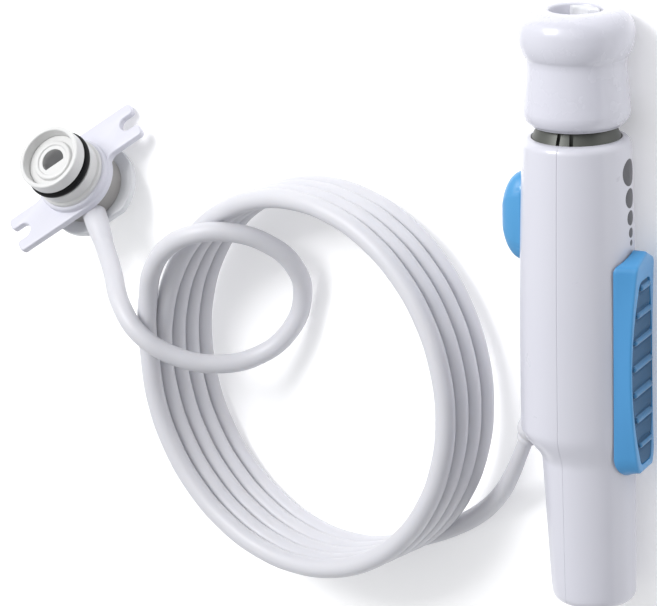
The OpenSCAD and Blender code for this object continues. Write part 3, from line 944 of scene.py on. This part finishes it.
def make_pad(materials):
    """The ribbed pad, as one fine grid inside the lens."""
    rows_x = steps(PAD_X - PAD_HALF + 0.12, PAD_X + PAD_HALF - 0.12, 0.17)
    across = 56
    shape = Shape()
    top = []
    for x in rows_x:
        end = min(x - (PAD_X - PAD_HALF), PAD_X + PAD_HALF - x)
        width = lerp(PAD_END_W - 0.8, pad_width(x), smooth(-0.6, 1.6, end)) - 0.1
        row = []
        for k in range(across + 1):
            z = width * math.sin(math.pi / 2 * (2 * k / across - 1) * 0.999)
            margin = min(width - abs(z), end)
            drop = rim_depth(margin, 0.5)
            row.append((x, -(slider_height(x) - 0.12 - drop + rib_height(x, z)), z))
        top.append(shape.add(row))
    for a, b in zip(top, top[1:]):
        shape.bridge(a, b, closed=False)
    border = [row[0] for row in top] + top[-1][1:]
    border += [row[-1] for row in reversed(top[:-1])] + top[0][-2:0:-1]
    low = shape.add([(shape.points[i].x, -PAD_FOOT, shape.points[i].z) for i in border])
    shape.bridge(border, low)
    shape.faces.append(low)
    piece = shape.build("ribbed_pad", HANDLE, 60)
    piece.data.materials.append(materials["pad_blue"])
    piece.data.materials.append(materials["rib_painted_highlight"])
    # Faces on the rib crests take the lighter blue: a painted highlight on the ribs.
    to_handle = HANDLE.inverted()
    for face in piece.data.polygons:
        spot = to_handle @ face.center
        if rib_height(spot.x, spot.z) > 0.3:
            face.material_index = 1
    dress(piece, None, "slider", "pad_blue", "slider_pad")


# ---------------------------------------------------------------- bracket

PLATE_T = 2.5
SLOT_REACH = 22.1
SLOT_R = 2.3
ARM_TURN = math.radians(-15)
ARM_TIP = 3.2
BOSS_R = 11.5
PLATE_R = BOSS_R + 0.4
ARM_INSET = 0.1
NUT_R = 14.6
NUT_FLAT = 13.0
NUT_Z = (-11.3, -8.8)


def turned(points, angle):
    """An outline in (x, y) turned about its origin, `angle` in radians."""
    c, s = math.cos(angle), math.sin(angle)
    return [(x * c - y * s, x * s + y * c) for x, y in points]


def plate_outline():
    """Two open-ended arms, each turned about its slot, and the round middle between them."""
    root_x, root_y = -SLOT_REACH * math.cos(ARM_TURN), SLOT_REACH * math.sin(ARM_TURN)
    half = PLATE_R + root_y - ARM_INSET
    below = -math.sqrt(PLATE_R ** 2 - (root_y + half) ** 2)
    arm = [(root_x - below, -half, 3.5), (ARM_TIP, -half, 1.3), (ARM_TIP, -SLOT_R, 1.1)]
    mouth = [(x, y, 0) for x, y in arc(0, 0, -SLOT_R, SLOT_R, -90, 90, 14)]
    far = [(ARM_TIP, SLOT_R, 1.1), (ARM_TIP, half, 1.3)]
    round_part = [(root_x + PLATE_R * math.cos(a), root_y + PLATE_R * math.sin(a), 0)
                  for a in steps(math.pi / 2, math.pi + ARM_TURN * 2, 0.09)]
    outline = turned([(x, y) for x, y, r in arm + mouth + far + round_part], ARM_TURN)
    radii = [r for x, y, r in arm + mouth + far + round_part]
    right = [(x + SLOT_REACH, y, r) for (x, y), r in zip(outline, radii)]
    left = [(-x, -y, r) for x, y, r in right]
    return rounded(right + left, count=6)


def make_plate(materials):
    plate = slab(plate_outline(), -PLATE_T, 0, edge=0.45, count=4).build("plate", BRACKET)
    disc = upright(lathe(rounded([
        (-PLATE_T, 8.5, 0), (-PLATE_T, PLATE_R, 0.5), (-0.4, PLATE_R, 0.3), (0.3, BOSS_R, 0.3),
        (2.0, BOSS_R, 0.7), (2.0, 8.5, 0)], count=5)))
    boss = disc.build("boss", BRACKET, 40)
    piece = joined("bracket_plate", [plate, boss])
    dress(piece, materials["bracket_white"], "handle", "bracket_white", "mounting_plate")


def make_spigot(materials):
    profile = rounded([
        (-PLATE_T, 4.0, 0), (-PLATE_T, 8.4, 0), (2.0, 8.4, 0), (2.0, 10.6, 0), (3.3, 10.6, 0.3),
        (3.7, 9.9, 0.3), (7.4, 9.9, 0.35), (7.6, 8.1, 0), (10.4, 8.1, 0), (10.6, 9.9, 0.35),
        (15.0, 9.9, 0.45), (15.0, 8.55, 0.45), (10.8, 8.35, 0.5), (10.8, 4.0, 0)], count=5)
    spigot = upright(lathe(profile, 144)).build("spigot_body", BRACKET, 40)
    dress(spigot, materials["spigot_white"], "handle", "spigot_white", "water_spigot")
    seal = upright(lathe([(9.0 + x, 9.35 + r) for x, r in arc(0, 0, 1.25, 1.15, 0, 345, 23)], 144))
    ring = seal.build("seal_ring", BRACKET)
    dress(ring, materials["seal_black"], "handle", "seal_black", "spigot_o_ring")


def make_insert(materials):
    disc = upright(lathe(rounded([
        (10.8, 0.02, 0), (10.8, 8.4, 0), (11.6, 8.3, 0.3), (11.6, 6.3, 0.3), (12.8, 6.1, 0.5),
        (12.8, 4.9, 0.3), (12.3, 4.7, 0.3), (12.3, 0.02, 0)], count=4, closed=False),
        120, closed=False))
    insert = disc.build("insert", BRACKET, 40)
    hole = Shape()
    flat = -1.7
    radius = 3.6
    start = math.degrees(math.asin(flat / radius))
    outline = turned(arc(0, 0, radius, radius, start, 180 - start, 30), ARM_TURN)
    hole.loft([[(x, y, z) for x, y in outline] for z in (10, 14)])
    cut(insert, hole.build("hole", BRACKET))
    dress(insert, materials["spigot_white"], "handle", "spigot_white", "spigot_insert")


def make_back_parts(materials):
    body = upright(lathe(rounded([
        (-11.3, 0.02, 0), (-11.3, 5.9, 0), (-8.8, 5.9, 0), (-8.8, 10.9, 0.4), (-PLATE_T, 10.9, 0.2),
        (-PLATE_T, 0.02, 0)], closed=False), 128, closed=False))
    stem = body.build("stem_body", BRACKET, 40)
    dress(stem, materials["body_grey"], "handle", "body_grey", "bracket_body")
    turn = math.degrees(math.acos(NUT_FLAT / NUT_R))
    outline = arc(0, 0, NUT_R, NUT_R, 90 + turn, 270 - turn, 40)
    outline += arc(0, 0, NUT_R, NUT_R, turn - 90, 90 - turn, 40)
    nut = slab(turned(outline, ARM_TURN), *NUT_Z, edge=0.5, count=4)
    rim = nut.build("lock_nut", BRACKET, 40)
    dress(rim, materials["nut_white"], "handle", "nut_white", "retaining_nut")


ELBOW_ANGLE = -109.0
ELBOW_Z = -5.7
ELBOW_REACH = 21.0


def make_elbow(materials):
    turn = Matrix.Rotation(math.radians(ELBOW_ANGLE), 4, "Z") @ Matrix.Translation((0, 0, ELBOW_Z))
    profile = rounded([
        (5.0, 0.02, 0), (5.0, 2.9, 0), (10.2, 2.9, 0.4), (10.9, 3.55, 1.0), (15.0, 3.45, 3.0),
        (ELBOW_REACH + 0.5, 2.95, 1.0), (ELBOW_REACH + 2, 2.6, 0), (ELBOW_REACH + 2, 0.02, 0)],
        closed=False)
    piece = lathe(profile, 72, closed=False).build("hose_tail", BRACKET @ turn, 40)
    dress(piece, materials["hose_white"], "handle", "hose_white", "hose_elbow")


# ---------------------------------------------------------------- inner parts

INNER_FINISH = {
    "valve_body": "valve_plastic", "inlet_barb": "brass", "inlet_tube": "hose_white",
    "outlet_tube": "valve_plastic", "socket_seat": "valve_plastic", "eject_spring": "spring_steel",
    "socket_seal": "seal_black", "socket_clip": "spring_steel", "eject_latch": "socket_white",
    "slider_carrier": "socket_white", "valve_spool": "spring_steel", "spool_seals": "seal_black",
}


def dress_inner_nodes(materials):
    for node, slot in INNER_FINISH.items():
        mesh = frame["nodes"][node].data
        mesh.materials.clear()
        mesh.materials.append(materials[slot])


# ---------------------------------------------------------------- floor and light

FLOOR_HALF = 6.0
FLOOR_Z = -0.0002
FLOOR_GLOW = 0.22
WORLD_LEFT = 0.74
WORLD_RIGHT = 0.15


def make_floor():
    mesh = bpy.data.meshes.new("floor")
    ways = ((-1, -1), (1, -1), (1, 1), (-1, 1))
    corners = [(x * FLOOR_HALF, y * FLOOR_HALF, FLOOR_Z) for x, y in ways]
    mesh.from_pydata(corners, [], [(0, 1, 2, 3)])
    floor = bpy.data.objects.new("floor", mesh)
    bpy.context.scene.collection.objects.link(floor)
    material = bpy.data.materials.new("floor_paper")
    material.use_nodes = True
    shader = shader_of(material)
    shader.inputs["Base Color"].default_value = (0.93, 0.93, 0.935, 1)
    shader.inputs["Roughness"].default_value = 0.9
    shader.inputs["Specular IOR Level"].default_value = 0.1
    shader.inputs["Emission Color"].default_value = (1, 1, 1, 1)
    shader.inputs["Emission Strength"].default_value = FLOOR_GLOW
    mesh.materials.append(material)


def area_light(name, towards, distance, size, power):
    """A soft box that looks at the middle of the object from a direction."""
    data = bpy.data.lights.new(name, "AREA")
    data.shape = "RECTANGLE"
    data.size, data.size_y = size
    data.energy = power
    light = bpy.data.objects.new(name, data)
    way = Vector(towards).normalized()
    middle = Vector((-0.01, 0.09, 0.0))
    facing = way.to_track_quat("Z", "Y").to_matrix().to_4x4()
    light.matrix_world = Matrix.Translation(middle + way * distance) @ facing
    bpy.context.scene.collection.objects.link(light)


def make_light(right, up, towards):
    area_light("key", up * 0.5 - right * 0.9 + towards * 0.8, 1.2, (0.5, 0.5), 10.0)
    area_light("fill", towards * 0.9 - right * 0.3 + up * 0.2, 1.7, (1.4, 1.4), 4.0)
    world = bpy.data.worlds.new("studio")
    world.use_nodes = True
    background = world.node_tree.nodes["Background"]
    background.inputs["Color"].default_value = (0.97, 0.98, 1.0, 1)
    tree = world.node_tree
    across = tree.nodes.new("ShaderNodeVectorMath")
    across.operation = "DOT_PRODUCT"
    across.inputs[1].default_value = right
    tree.links.new(tree.nodes.new("ShaderNodeTexCoord").outputs["Generated"], across.inputs[0])
    falloff = tree.nodes.new("ShaderNodeMapRange")
    falloff.inputs["From Min"].default_value = -1.0
    falloff.inputs["From Max"].default_value = 1.0
    falloff.inputs["To Min"].default_value = WORLD_LEFT
    falloff.inputs["To Max"].default_value = WORLD_RIGHT
    tree.links.new(across.outputs["Value"], falloff.inputs["Value"])
    tree.links.new(falloff.outputs["Result"], background.inputs["Strength"])
    bpy.context.scene.world = world
    bpy.context.scene.view_settings.view_transform = "Standard"


# ---------------------------------------------------------------- the scene

right, up, towards = make_camera()
materials = make_materials()
hose = make_hose(materials["hose_white"])
make_shells(materials)
make_collar(materials)
make_dots(materials)
make_gland(materials)
make_knob(materials)
make_socket(materials)
make_button(materials)
make_slider(materials)
make_pad(materials)
make_plate(materials)
make_spigot(materials)
make_insert(materials)
make_back_parts(materials)
make_elbow(materials)
dress_inner_nodes(materials)
make_floor()
make_light(right, up, towards)
